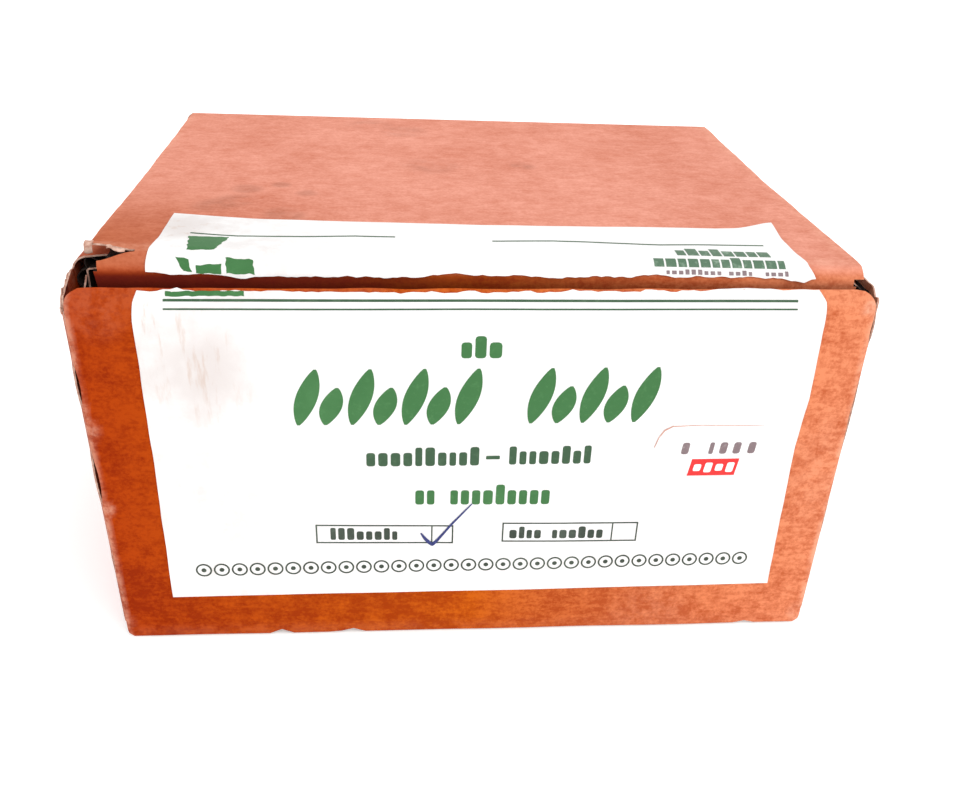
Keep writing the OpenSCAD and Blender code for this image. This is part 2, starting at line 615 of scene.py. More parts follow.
def inkPaint(name, ink, thin, patchy=0.5):
    paint = Paint(name, 0.55)
    place = paint.where()
    worn = paint.noise(place, 700, 4, 0.65)
    cloudy = paint.noise(place, 90, 3, 0.6)
    lack = paint.ranged(worn, 0.5, 0.78) * patchy + paint.ranged(cloudy, 0.45, 0.8) * 0.3
    paint.colour(paint.mix(lack, ink, thin))
    return paint.material


kraft = kraftPaint("redKraft", "X")
sideKraft = kraftPaint("redKraftSide", "Y")
cornerShadeReach = inMm((16, 12))           # how far the painted shade reaches at the two open corners
plainKraft = plainPaint("plainKraft", (0.30, 0.14, 0.07), (0.50, 0.27, 0.155), 60, 0.88, paintedShade=cornerShadeReach)
fluting = plainPaint("fluting", (0.26, 0.12, 0.06), (0.44, 0.23, 0.13), 300, 0.9, paintedShade=cornerShadeReach)
# the raw edges get painted shade at the open corners too
rawEdge = plainPaint("rawEdge", (0.42, 0.20, 0.14), (0.72, 0.48, 0.38), 900, 0.92,
                     paintedShade=inMm((7, 3.4)))
labelPaper = paperPaint()
tornPaper = plainPaint("tornPaper", (0.72, 0.66, 0.60), (0.93, 0.90, 0.86), 900, 0.85,
                       2500, 0.05)
stickerPaper = plainPaint("stickerPaper", (0.90, 0.90, 0.90), (0.95, 0.95, 0.945), 40, 0.42,
                          300, 0.02)
greenInk = inkPaint("greenInk", (0.024, 0.14, 0.028), (0.07, 0.23, 0.07))
darkGreenInk = inkPaint("darkGreenInk", (0.022, 0.075, 0.028), (0.08, 0.16, 0.08))
blackInk = inkPaint("blackGreenInk", (0.02, 0.035, 0.02), (0.12, 0.16, 0.12))
penInk = inkPaint("penInk", (0.012, 0.02, 0.14), (0.05, 0.07, 0.25), 0.3)
redInk = inkPaint("redInk", (0.80, 0.012, 0.012), (0.85, 0.06, 0.05), 0.3)
paleGreenInk = inkPaint("paleGreenInk", (0.07, 0.15, 0.085), (0.28, 0.38, 0.29), 0.8)
greyInk = inkPaint("greyInk", (0.20, 0.14, 0.15), (0.45, 0.38, 0.38), 0.6)
brownInk = inkPaint("brownInk", (0.55, 0.28, 0.22), (0.80, 0.62, 0.56), 0.8)
whiteInk = inkPaint("whiteInk", (0.93, 0.93, 0.93), (0.9, 0.8, 0.8), 0.2)
print("materials made")


def steps(*spans):
    # rows or columns through each (low, high, step) in turn, without repeats
    found = [spans[0][0]]
    for low, high, step in spans:
        found += rowsBetween(low, high, step)[1:]
    return found


def along(points, x):
    # a line through (x, y) points
    for (x0, y0), (x1, y1) in zip(points, points[1:]):
        if x <= x1:
            return y0 + (y1 - y0) * max(0, x - x0) / (x1 - x0)
    return points[-1][1]


def cornerInset(past, radius):
    # how far a rounded corner's edge has drawn in, past the start of its curve
    past = min(max(0, past), radius * 0.999)
    return radius - math.sqrt(radius ** 2 - past ** 2)


wallEdge = halfW - corner + cornerHalf
sideEdge = halfD - corner + cornerHalf
skirtEnd = halfD - bend + quarter + overlap
sideLowest, sideHighest = top - wallTop + 0.9 * mm, wallTop - 0.6 * mm
rootFront, rootBack = dustLow.y, dustHigh.y
backTop = top - bend - overlap

washboard = inMm({"deep": 0.045, "dent": 0.22, "dentSize": 24})


def ribbed(u, v, seed):
    ribs = 0.5 - 0.5 * math.cos(2 * math.pi * v / carton["flutePitch"])
    return washboard["deep"] * ribs + washboard["dent"] * wave(u, v, washboard["dentSize"], seed)


frontLook = {
    "topRadius": {-1: 2.6 * mm, 1: 4.2 * mm},
    "crushed": 3.4 * mm,       # the inner plies stop this far below the outer one
    "lowRadius": 1.6 * mm,
    "ragged": 0.22 * mm,
    "lift": 0.45 * mm,
    "setBack": 0.5 * mm,       # and this far in from its ends
    "seam": 0.06 * mm,         # half the gap along each upright crease where it isn't cracked
    "cracks": {                # lowest and highest point, how far the liner has parted
        -1: inMm([(57.5, 67, 0.85), (35, 47.2, 0.95), (18.5, 22.8, 0.35)]),
        1: inMm([(70, 76.4, 0.8), (46, 63, 0.6), (24, 33, 0.3)]),
    },
    "rubs": [                  # along, up and radius of the rubbed places in mm, and strength
        (74.4, 77.8, 2.6, 0.6),
        (-75.5, 52.5, 3.4, 0.5),
        (-75.0, 34, 2.6, 0.6),
        (-70, 78, 8, 0.07),
        (-75.4, 4, 3, 0.15),
        (75.2, 3, 4, 0.4),
        (40, 2, 14, 0.1),
        (72, 40, 20, 0.1),
    ],
    # middle, half width and depth
    "notches": inMm([(-41.8, 2.2, 1.1), (-27, 2.2, 0.9), (62, 1.4, 0.6)]),
}


def crackWidth(side, v):
    return sum(wide * hump(low, high, v) for low, high, wide in frontLook["cracks"][side])


def frontOutline(u, v):
    side = -1 if u < 0 else 1
    inset = cornerInset(v - frontTop + frontLook["topRadius"][side], frontLook["topRadius"][side])
    inset += cornerInset(carton["frontLow"] + frontLook["lowRadius"] - v, frontLook["lowRadius"])
    inset += 0.35 * mm * smooth(frontTop - 8 * mm, frontTop - 4 * mm, v)
    inset += crackWidth(side, v) + frontLook["seam"] * (1 + wave(v, side, 2.5 * mm, 5))
    u -= side * inset * smooth(0.8 * wallEdge, wallEdge, abs(u))
    v += frontLook["ragged"] * wave(u, 0, 9 * mm, 3) * smooth(frontTop - 6 * mm, frontTop, v)
    for middle, half, deep in frontLook["notches"]:
        notch = deep * (1 - smooth(0.4 * half, half, abs(u - middle)))
        v += notch * (1 - smooth(frontLow.z, 3 * mm, v))
    return u, v


def squareFront(u, v):
    radius = frontLook["topRadius"][-1 if u < 0 else 1]
    inset = cornerInset(v - frontTop + radius, radius)
    crushed = frontLook["crushed"] * smooth(frontTop - 12 * mm, frontTop, v)
    return u * (1 - (inset + frontLook["setBack"]) / wallEdge), v - crushed


def frontRelief(u, v):
    side = -1 if u < 0 else 1
    near = smooth(wallEdge - 5 * mm, wallEdge, abs(u))
    parted = crackWidth(side, v) / (0.9 * mm)
    fade = 1 - 0.8 * smooth(frontTop - 6 * mm, frontTop, v)
    return ribbed(u, v, 1) * fade * (1 - 0.7 * near) - frontLook["lift"] * parted * near


def frontWear(u, v):
    worn = 0.5 * smooth(wallEdge - 1.8 * mm, wallEdge - 0.4 * mm, abs(u))
    worn = max(worn, 0.05 * smooth(frontTop - 5 * mm, frontTop - 2 * mm, v))
    worn = max(worn, 0.05 * (1 - smooth(frontLow.z, 4 * mm, v)))
    for *lengths, strength in frontLook["rubs"]:
        middle, height, radius = inMm(lengths)
        away = math.hypot(u - middle, v - height)
        worn = max(worn, strength * (1 - smooth(0.3 * radius, radius, away)))
    return worn


def coreRowsFor(low, high):
    return rowsBetween(low, high, 0.62 * mm)


flank = halfW - 8 * mm
frontColumns = steps((-wallEdge, -flank, 0.6 * mm), (-flank, flank, 2.6 * mm),
                     (flank, wallEdge, 0.6 * mm))
frontRows = steps((carton["frontLow"], 4 * mm, 0.6 * mm), (4 * mm, frontTop - 6 * mm, 1.25 * mm),
                  (frontTop - 6 * mm, frontTop, 0.45 * mm))
front = boardPiece("frontWall", frontColumns, frontRows, frontOutline, onFront,
                   coreRowsFor(carton["frontLow"] + 0.4 * mm, frontTop - 0.5 * mm), 0.8 * mm,
                   kraft, frontRelief, frontWear, innerOutline=squareFront)
ridesOn(front, "tube", "outer_board", "front_panel")
print("front wall made")


def plainOutline(u, v):
    return u, v


def backRelief(u, v):
    even = smooth(backLow, backLow + 8 * mm, v) * (1 - smooth(backTop - 8 * mm, backTop, v))
    return ribbed(u, v, 2) * even * (1 - smooth(wallEdge - 5 * mm, wallEdge, abs(u)))


def backWear(u, v):
    return 0.25 * smooth(wallEdge - 2.6 * mm, wallEdge - 0.6 * mm, abs(u))


backLow = top - backTop
flank = halfW - 6 * mm
backColumns = steps((-wallEdge, -flank, 0.8 * mm), (-flank, flank, 3 * mm), (flank, wallEdge, 0.8 * mm))
back = boardPiece("backWall", backColumns, steps((backLow, backTop, 1.6 * mm)), plainOutline, onBack,
                  coreRowsFor(backLow, backTop), 0.8 * mm, kraft, backRelief, backWear)
ridesOn(back, "tube", "outer_board", "back_panel")
print("back wall made")

tabLook = inMm({
    -1: {"low": 77.4, "high": 80.5, "reach": 11, "ragged": 0.4, "crushed": 2.6},
    1: {"low": 78.6, "high": 82.3, "reach": 5, "ragged": 0.15, "crushed": 0.6},
})


def tabCrest(side, u):
    look = tabLook[side]
    return look["low"] + (look["high"] - look["low"]) * smooth(0, look["reach"], u + halfD)


def sideOutline(side, crushed=0):
    def outline(u, v):
        crest = tabCrest(side, u) + tabLook[side]["ragged"] * wave(u, side, 1.6 * mm, 8)
        if u > rootBack:
            crest = sideHighest
        if v > rootTop:
            crest -= crushed * smooth(rootFront + 2 * mm, rootFront - 2 * mm, u)
            v = rootTop + (v - rootTop) / (sideHighest - rootTop) * (crest - rootTop)
        u += (0.5 * crackWidth(side, v) + 0.04 * mm) * (1 - smooth(-sideEdge, -sideEdge + 6 * mm, u))
        return u, v

    return outline


def sideSkip(u, v):
    inRoot = rootFront < u < rootBack
    return inRoot and not top - rootTop < v < rootTop


def sideRelief(side):
    def relief(u, v):
        near = smooth(sideEdge - 5 * mm, sideEdge, abs(u))
        parted = crackWidth(side, v) / (0.9 * mm) if u < 0 else 0
        even = smooth(top - rootTop, top - rootTop + 8 * mm, v)
        even = even * (1 - smooth(rootTop - 8 * mm, rootTop, v))
        return ribbed(u, v, 4 + side) * even * (1 - near) - frontLook["lift"] * 0.6 * parted * near
    return relief


def sideWear(u, v):
    worn = 0.3 * smooth(sideEdge - 2.2 * mm, sideEdge - 0.6 * mm, abs(u))
    return max(worn, 0.6 * smooth(rootTop, sideHighest, v) if u < rootFront else 0)


sideColumns = steps((-sideEdge, rootFront, 0.6 * mm), (rootFront, rootBack, 2.8 * mm),
                    (rootBack, sideEdge, 0.8 * mm))
sideRows = steps((sideLowest, top - rootTop, 0.8 * mm), (top - rootTop, rootTop, 1.6 * mm),
                 (rootTop, sideHighest, 0.6 * mm))
for side, word in ((-1, "left"), (1, "right")):
    wall = boardPiece(word + "Wall", sideColumns, sideRows, sideOutline(side), onSide(side),
                      coreRowsFor(sideLowest, sideHighest - mm), 0.8 * mm, sideKraft, sideRelief(side),
                      sideWear, skip=sideSkip, innerSkip=sideSkip,
                      innerOutline=sideOutline(side, tabLook[side]["crushed"]))
    ridesOn(wall, "tube", "outer_board", word + "_panel")
print("side walls made")


# a pale torn strip of liner along the left tab's edge
def scrapOutline(f, g):
    u = -60.3 * mm + 9.3 * mm * f
    crest = tabCrest(-1, u)
    tall = (1.0 + 0.9 * wave(u, 3, 1.1 * mm, 61)) * mm * (1 - 0.55 * f)
    return u, crest - 0.6 * mm + tall * g + 0.25 * mm * wave(u, g, 0.9 * mm, 62) * g


def scrapDepth(u, v):
    return -0.22 * mm


scrapThick = 0.2 * mm
scrap = joined("tornScrap", [
    sheet("tornScrap", evenly(36), evenly(6), scrapOutline, onSide(-1), scrapDepth, scrapThick,
          [rawEdge])])
ridesOn(scrap, "tube", "outer_board")
print("torn strip made")

# the glue flap is inside the back left corner
glueTaper = math.tan(math.radians(12))


def glueOutline(u, v):
    middle = (glueLow.z + glueHigh.z) / 2
    half = (glueHigh.z - glueLow.z) / 2
    return u, middle + (v - middle) * (half - u * glueTaper) / half


glueWide = glueHigh.x - glueLow.x
glue = boardPiece("glueFlap", steps((0.2 * mm, glueWide, 2 * mm)),
                  steps((glueLow.z, glueHigh.z, 1.6 * mm)), glueOutline, onGlue,
                  coreRowsFor(glueLow.z, glueHigh.z), 0.5 * mm, plainKraft)
ridesOn(glue, "tube", "inner_board", "glue_flap")
print("glue flap made")

# the lid and the bottom are each hinged on the back wall
lidLook = {
    "left": inMm([(-50, 71.6), (0, 72.0), (58, 73.1)]),      # half widths along the lid
    "right": inMm([(-50, 73.4), (0, 72.6), (58, 73.9)]),
    "start": creaseY + bend + overlap,
    "slitEnd": 63.2 * mm,      # the slit runs from here to the lid's left edge
    "crushed": 2.6 * mm,       # the inner plies stop this far inside the left edge
}
lidLeft, lidRight = lidLook["left"][0][1], lidLook["right"][0][1]
lidStart, lidBack = lidLook["start"], halfD - bend
topColumns = steps((-lidLeft, tuckLow.x, 0.75 * mm), (tuckLow.x, -lidLook["slitEnd"], 0.75 * mm),
                   (-lidLook["slitEnd"], tuckHigh.x, 2.4 * mm), (tuckHigh.x, lidRight, 0.75 * mm))
topRows = steps((lidStart, lidBack, 1.6 * mm), (lidBack, lidBack + quarter, 0.5 * mm),
                (lidBack + quarter, skirtEnd, 0.8 * mm))


def lidOutline(u, v):
    goneDown = smooth(lidBack, lidBack + quarter, v)
    left = along(lidLook["left"], v) + 0.12 * mm * wave(v, 1, 6 * mm, 21)
    right = along(lidLook["right"], v) + 0.12 * mm * wave(v, 2, 6 * mm, 22)
    fresh = smooth(lidStart, lidStart + 4 * mm, v)
    left = lidLeft + (left - lidLeft) * fresh + (wallEdge - left) * goneDown
    right = lidRight + (right - lidRight) * fresh + (wallEdge - right) * goneDown
    if u < 0:
        return u - (left - lidLeft) * smooth(50 * mm, lidLeft, -u), v
    return u + (right - lidRight) * smooth(50 * mm, lidRight, u), v


def lidInner(u, v):
    # the inner plies are crushed back near the left front corner
    u, v = lidOutline(u, v)
    if u > 0:
        return u, v
    return u * (1 - lidLook["crushed"] / lidLeft * smooth(-36 * mm, -46 * mm, v)), v


def overTheBack(place):
    # the crease follows the wall's rounded corner as it turns down
    def placed(u, v, w):
        p = place(u, v, w)
        turned = smooth(lidBack, lidBack + quarter, v)
        if turned > 0:
            along, deep = aroundCorner(u, halfW, 0)
            p = Vector((u + (along - u) * turned, p.y - deep * turned, p.z))
        return p
    return placed


def lidRelief(u, y):
    even = 1 - smooth(lidBack - 6 * mm, lidBack, y)
    return (ribbed(u, y, 6) + 0.2 * mm * wave(u, y, 60 * mm, 9)) * even


def lidWear(u, v):
    worn = 0.22 * smooth(70.4 * mm, 72.6 * mm, abs(u))
    atCrease = 0.22 * smooth(lidBack - 1.5 * mm, lidBack + 1.5 * mm, v)
    return max(worn, atCrease * (1 - smooth(lidBack + quarter, skirtEnd, v)))


hinge = {
    "start": (0, halfD - board, backTop),
    "end": (0, lidBack - board, top - board),
}


def mirrored(point):
    return (point[0], point[1], top - point[2])


lid = boardPiece("lidBoard", topColumns, topRows, lidOutline, overTheBack(onLid),
                 coreRowsFor(lidStart, skirtEnd), 0.5 * mm, kraft, lidRelief, lidWear,
                 innerOutline=lidInner)
bendsBetween(lid, "tube", "lid", hinge["start"], hinge["end"], "outer_board", "lid_panel")
base = boardPiece("bottomBoard", topColumns, topRows, lidOutline, upsideDown(overTheBack(onLid)),
                  coreRowsFor(lidStart, skirtEnd), 0.5 * mm, kraft, None, lidWear)
bendsBetween(base, "tube", "bottom", mirrored(hinge["start"]), mirrored(hinge["end"]),
             "outer_board", "bottom_panel")
print("lid and bottom made")

tuckLook = {
    "left": tuckLow.x,
    "right": tuckHigh.x,
    "shoulder": {-1: 1.2 * mm, 1: 4.0 * mm},      # how far past the crease each end steps in
    "corner": 12 * mm,
    "taper": 2 * mm,
    "slit": 2.2 * mm,          # how far the slit has opened
    "lip": 1.1 * mm,           # how far the torn lip stands up
    "dip": 0.35 * mm,          # how far the crease is pressed in
}
slitStart = tuckLook["shoulder"][-1]
turnLength = bend * (math.pi / 2 + math.radians(carton["tuckLean"]))
tuckEnd = turnLength + carton["tuckLength"]
tuckMiddle = (tuckLook["left"] + tuckLook["right"]) / 2
tuckHalf = (tuckLook["right"] - tuckLook["left"]) / 2


def shoulderAt(u):
    return tuckLook["shoulder"][-1 if u < 0 else 1]


def tuckOutline(u, v):
    if v > -shoulderAt(u):
        return u, v
    past = -v - tuckEnd + tuckLook["corner"]
    half = tuckHalf - tuckLook["taper"] * smooth(turnLength, tuckEnd, -v)
    half -= cornerInset(past, tuckLook["corner"])
    return tuckMiddle + (u - tuckMiddle) * half / tuckHalf, v


def tuckInner(u, v):
    u, v = tuckOutline(u, v)
    return (u * (1 - lidLook["crushed"] / lidLeft) if u < 0 else u), v


def slitOpen(u):
    return smooth(-lidLook["slitEnd"], -lidLeft + 2 * mm, u)


def slitOutline(u, v):
    if v > -slitStart + 0.01 * mm:
        return u, v
    opened = slitOpen(u) * tuckLook["slit"]
    ragged = 0.12 * mm * wave(u, v, 1.3 * mm, 4)
    v -= opened * (1 - smooth(slitStart, turnLength, -v)) + ragged * slitOpen(u)
    return tuckOutline(u, v)


def tuckRelief(u, v):
    even = smooth(-turnLength, 0, v)
    raised = v > -slitStart
    lip = tuckLook["lip"] * slitOpen(u) * smooth(3.2 * mm, -0.6 * mm, v) if raised else 0
    dip = tuckLook["dip"] * math.exp(-((v + 0.5 * turnLength) / (1.6 * mm)) ** 2)
    return lidRelief(u, creaseY + bend + v) * even - lip + dip * even


def beyondTuck(u, v):
    outside = not tuckLook["left"] < u < tuckLook["right"]
    return outside and v < -shoulderAt(u)


def slitSkip(u, v):
    opened = slitStart + tuckLook["slit"] * slitOpen(u)
    if -opened < v < -0.6 * mm and u < -lidLook["slitEnd"]:
        return True
    return beyondTuck(u, v)


def slitSkipInner(u, v):
    # the slit goes right through the board
    if -3.4 * mm < v < 2 * mm and u < -lidLook["slitEnd"] - mm:
        return True
    return beyondTuck(u, v)


def tuckWear(u, v):
    return 0.35 * smooth(-1.5 * mm, 0.2 * mm, v) * (1 - smooth(0, 3 * mm, v))


shoulder = tuckLook["shoulder"][1]
tuckRows = steps((overlap, -0.6 * mm, 0.5 * mm), (-0.6 * mm, -slitStart, 0.6 * mm),
                 (-slitStart, -shoulder, 0.5 * mm), (-shoulder, -turnLength, 0.4 * mm),
                 (-turnLength, -tuckEnd, 1.6 * mm))
crease = {
    "start": (0, creaseY + bend + overlap, top - board),
    "end": (0, creaseY + board, top - bend - overlap),
}


def overLidCrease(piece, slotName, *nodes):
    bendsBetween(piece, "lid", "lid_tuck", crease["start"], crease["end"], slotName, *nodes)


tuck = boardPiece("tuckFlap", topColumns, tuckRows, slitOutline, onTuck,
                  coreRowsFor(-tuckEnd, overlap), 0.5 * mm, kraft, tuckRelief, tuckWear,
                  skip=slitSkip, innerSkip=slitSkipInner, innerOutline=tuckInner)
overLidCrease(tuck, "outer_board", "lid_tuck_flap")
baseTuck = boardPiece("bottomTuckFlap", topColumns, tuckRows, tuckOutline, upsideDown(onTuck),
                      coreRowsFor(-tuckEnd, overlap), 0.5 * mm, kraft, None, tuckWear,
                      skip=beyondTuck, innerSkip=beyondTuck)
bendsBetween(baseTuck, "bottom", "bottom_tuck", mirrored(crease["start"]), mirrored(crease["end"]),
             "outer_board", "bottom_tuck_flap")
print("tuck flaps made")

# the dust flaps turn in from the side walls
dustLook = {
    "length": dustHigh.x - dustLow.x,
    "frontTaper": 11.65 * mm,
    "backTaper": 4.66 * mm,
    "corner": 5 * mm,
}
dustEnd = quarter + dustLook["length"]


def dustOutline(f, v):
    gone = max(0, v - quarter) / dustLook["length"]
    rounded = cornerInset(v - dustEnd + dustLook["corner"], dustLook["corner"])
    low = rootFront + dustLook["frontTaper"] * gone + rounded
    high = rootBack - dustLook["backTaper"] * gone - rounded
    return low + (high - low) * f, v


def dustWear(u, v):
    return 0.2 * hump(-1.5 * mm, quarter + mm, v)


dustRows = steps((-overlap, 0, 0.8 * mm), (0, quarter, 0.45 * mm),
                 (quarter, dustEnd, 1.4 * mm))
for side, word in ((-1, "left"), (1, "right")):
    root = (side * (halfW - board), 0, rootTop)
    flat = (side * (halfW - bend - overlap), 0, wallTop - board)
    for level, place in (("top", onDust(side)), ("bottom", upsideDown(onDust(side)))):
        flap = boardPiece(level + word.capitalize() + "DustFlap", closerAtEnds(48), dustRows,
                          dustOutline, place, coreRowsFor(-overlap, dustEnd), 0.5 * mm,
                          sideKraft, None, dustWear)
        start, end = (root, flat) if level == "top" else (mirrored(root), mirrored(flat))
        bendsBetween(flap, "tube", level + "_dust_" + word, start, end, "inner_board",
                     level + "_dust_flap_" + word)
print("dust flaps made")

# the torn label is in two parts: one on the front wall, one strip on the lid
paper = inMm({"thick": 0.16, "ink": 0.12, "proud": 0.07})

labelLook = inMm({
    "left": [(11, -64.3), (44, -63.85), (66, -63.8), (76, -63.7),
             (79.5, -63.4), (81.6, -62.6)],
    "right": [(11.7, 66.0), (47.5, 65.3), (58.6, 66.0), (74.8, 65.6),
              (79.4, 65.2), (81.6, 63.8)],
    "foot": [(-64.3, 11.1), (66.0, 11.7)],
    "head": [(-64, 81.4), (-40, 81.2), (-10, 81.0), (25, 81.1),
             (42, 81.2), (47, 81.7), (54, 81.8), (58, 81.2),
             (64, 81.3)],
    "tear": 0.28,
    "wander": 0.12,
    "span": (-64, 129.6),      # about where its foot starts, and how wide it is
    "clear": 0.1,              # how far it stands off the board
})


def labelOutline(f, g):
    start, wide = labelLook["span"]
    rough = start + wide * f
    ragged = wave(rough, 0, 1.5 * mm, 2) + wave(rough, 0, 5 * mm, 3)
    low = along(labelLook["foot"], rough)
    high = along(labelLook["head"], rough) + labelLook["tear"] * ragged
    v = low + (high - low) * g
    left = along(labelLook["left"], v) + labelLook["wander"] * wave(v, 1, 7 * mm, 4)
    right = along(labelLook["right"], v) + labelLook["wander"] * wave(v, 2, 7 * mm, 4)
    return left + (right - left) * f, v


def labelDepth(u, v):
    lifted = 0.5 * mm * smooth(62 * mm, 67 * mm, u) * smooth(72 * mm, 79 * mm, v)
    wrinkle = 0.03 * mm * wave(u, v, 7 * mm, 6) + 0.07 * mm * wave(u, v, 18 * mm, 7)
    return frontRelief(u, v) - paper["thick"] - labelLook["clear"] - wrinkle - lifted


def labelWear(u, v):
    edge = min(abs(u + 64 * mm), abs(u - 65.7 * mm), abs(v - 11.4 * mm))
    return max(0.5 * (1 - smooth(0, 3 * mm, edge)), 0.6 * smooth(79.5 * mm, 81.5 * mm, v))


labelRows = [g ** 0.75 for g in evenly(78)]
label = joined("frontLabel", [
    sheet("frontLabel", evenly(110), labelRows, labelOutline, onFront, labelDepth, paper["thick"],
          [labelPaper, tornPaper], labelWear)])
ridesOn(label, "tube", "label_paper", "front_label")

stripLook = inMm({
    "back": [(-61, 19.3), (-45, 17.6), (-2, 16.9), (40, 17.6),
             (52, 18.0), (63, 19.7)],
    "torn": [(-61, -5.1), (-45, -5.7), (-30, -5.4), (-15.5, -5.3),
             (-5, -4.3), (-1, -4.7), (6, -4.3), (12, -4.8),
             (30.7, -4.1), (56, -4.0), (62, -4.7), (65, -4.1)],
    "left": [(-6, -61.2), (-3, -61), (5, -60.2), (20, -60.2)],
    "right": [(-5, 64.2), (-1.5, 62.8), (4, 62.2), (20, 62.3)],
    "tear": 0.36,
    "lift": 1.3,               # how far its back right corner has come up
    "span": (-61, 125.5),
    "clear": 0.16,
})


def stripOutline(f, g):
    start, wide = stripLook["span"]
    rough = start + wide * f
    ragged = wave(rough, 0, 1.7 * mm, 12) + wave(rough, 0, 6 * mm, 13)
    low = along(stripLook["torn"], rough) + stripLook["tear"] * ragged
    high = along(stripLook["back"], rough)
    v = low + (high - low) * g
    left, right = along(stripLook["left"], v), along(stripLook["right"], v)
    return left + (right - left) * f, v


def stripDepth(u, v):
    raised = stripLook["lift"] * smooth(54 * mm, 64 * mm, u) * smooth(11 * mm, 21 * mm, v)
    loose = max(0, 0.3 * mm * smooth(-2 * mm, -4.5 * mm, v) * (0.6 + wave(u, 0, 9 * mm, 14)))
    wrinkle = 0.05 * mm * wave(u, v, 7 * mm, 15) + 0.1 * mm * wave(u, v, 18 * mm, 16)
    return tuckRelief(u, v) - paper["thick"] - stripLook["clear"] - wrinkle - raised - loose


def stripWear(u, v):
    return 0.3 * smooth(0, -3.5 * mm, v)


stripRows = [g ** 1.5 for g in evenly(46)]
strip = joined("lidLabel", [
    sheet("lidLabel", evenly(150), stripRows, stripOutline, onTuck, stripDepth, paper["thick"],
          [labelPaper, tornPaper], stripWear)])
overLidCrease(strip, "label_paper", "lid_label")
print("label made")

stickerLook = {
    "left": 36.4 * mm,
    "right": 62.4 * mm,
    "foot": 41.4 * mm,
    "head": 53.0 * mm,
    "corner": 4.6 * mm,        # radius of the top left corner
    "round": 0.9 * mm,         # radius of the others
    "thick": 0.09 * mm,
    "lean": 0.02,
}


def stickerOutline(f, g):
    look = stickerLook
    v = look["foot"] + (look["head"] - look["foot"]) * g
    left = look["left"] + cornerInset(v - look["head"] + look["corner"], look["corner"])
    left += 0.5 * cornerInset(look["foot"] + look["round"] - v, look["round"])
    rounded = cornerInset(v - look["head"] + look["round"], look["round"])
    right = look["right"] - 2.0 * mm * g - 0.5 * rounded
    u = left + (right - left) * f
    return u, v - look["lean"] * (u - look["left"])


def stickerDepth(u, v):
    lifted = 0.12 * mm * smooth(60 * mm, 62.6 * mm, u)
    return labelDepth(u, v) - stickerLook["thick"] - lifted


sticker = joined("priceSticker", [
    sheet("priceSticker", closerAtEnds(36), closerAtEnds(24, 0.9), stickerOutline, onFront,
          stickerDepth, stickerLook["thick"], [stickerPaper])])
ridesOn(sticker, "tube", "sticker_paper", "price_sticker")
print("sticker made")


# printed and drawn marks are thin raised ink, laid out flat first
def openArt():
    bpy.ops.object.select_all(action="DESELECT")
    bpy.ops.mesh.primitive_plane_add(size=mm)
    bpy.ops.object.mode_set(mode="EDIT")
    bpy.ops.mesh.delete(type="VERT")


def bar(u, v, wide, tall, corner=0.3, cuts=1, rows=1):
    # a flat mark, its middle at u and v; the small ones have rounded corners
    bpy.ops.mesh.select_all(action="DESELECT")
    bpy.ops.mesh.primitive_grid_add(size=1, x_subdivisions=cuts, y_subdivisions=rows,
                                    location=(u, v, 0))
    bpy.ops.transform.resize(value=(wide, tall, 1), center_override=(u, v, 0))
    if corner and cuts == rows == 1:
        bpy.ops.mesh.bevel(affect="VERTICES", offset=corner * min(wide, tall), segments=2)


def block(u, v, wide, tall, *rest):
    # the same, with its lengths in mm
    bar(*inMm((u, v, wide, tall)), *rest)


def dot(u, v, radius, points=12):
    bpy.ops.mesh.select_all(action="DESELECT")
    bpy.ops.mesh.primitive_circle_add(vertices=points, radius=radius, fill_type="NGON",
                                      location=(u, v, 0))


def ring(u, v, radius, wide, points=24):
    bpy.ops.mesh.select_all(action="DESELECT")
    bpy.ops.mesh.primitive_circle_add(vertices=points, radius=radius, location=(u, v, 0))
    bpy.ops.mesh.extrude_region()
    inner = (radius - wide) / radius
    bpy.ops.transform.resize(value=(inner, inner, inner), center_override=(u, v, 0))


def boxOutline(low, high, wide):
    # four bars that meet at the corners, with lengths in mm
    low, high, wide = inMm((low, high, wide))
    middle = ((low[0] + high[0]) / 2, (low[1] + high[1]) / 2)
    length, tall = high[0] - low[0], high[1] - low[1]
    for v in (low[1] + wide / 2, high[1] - wide / 2):
        bar(middle[0], v, length, wide, 0, 14)
    for u in (low[0] + wide / 2, high[0] - wide / 2):
        bar(u, middle[1], wide, tall - 2 * wide, 0)


def closeArt(name, place, depth, finish, slant=0, foot=0, turn=0):
    # the flat art is laid onto its panel, then given the ink's thickness
    bpy.ops.object.mode_set(mode="OBJECT")
    made = bpy.context.object
    made.name = made.data.name = name
    mesh = made.data
    mesh.attributes.new("wear", "FLOAT", "POINT")
    for vert in mesh.vertices:
        u = vert.co.x + slant * (vert.co.y - foot)
        v = vert.co.y + turn * vert.co.x
        vert.co = settle(place(u, v, depth(u, v) - paper["proud"]))
    mesh.update()
    outward = Vector((0, -1, 0.6))
    wrong = [face.index for face in mesh.polygons if face.normal.dot(outward) < 0]
    if wrong:
        shape = bmesh.new()
        shape.from_mesh(mesh)
        shape.faces.ensure_lookup_table()
        bmesh.ops.reverse_faces(shape, faces=[shape.faces[i] for i in wrong])
        shape.to_mesh(mesh)
        shape.free()
    mesh.materials.append(finish)
    return thicken(made, paper["ink"])


def words(u, v, length, tall, letter, gap, seed, breaks=(), rows=1):
    # a line of plain blocks in place of words, with lengths in mm
    u, v, length, tall, letter, gap = inMm((u, v, length, tall, letter, gap))
    draw = random.Random(seed)
    at = u
    while at < u + length - 0.6 * letter:
        wide = min(letter * draw.uniform(0.75, 1.15), u + length - at)
        share = (at - u) / length
        if not any(low < share < high for low, high in breaks):
            high = tall * draw.choice((0.72, 0.72, 0.72, 1.0))
            bar(at + wide / 2, v + high / 2, wide, high, 0.28, rows, rows)
        at += wide + gap


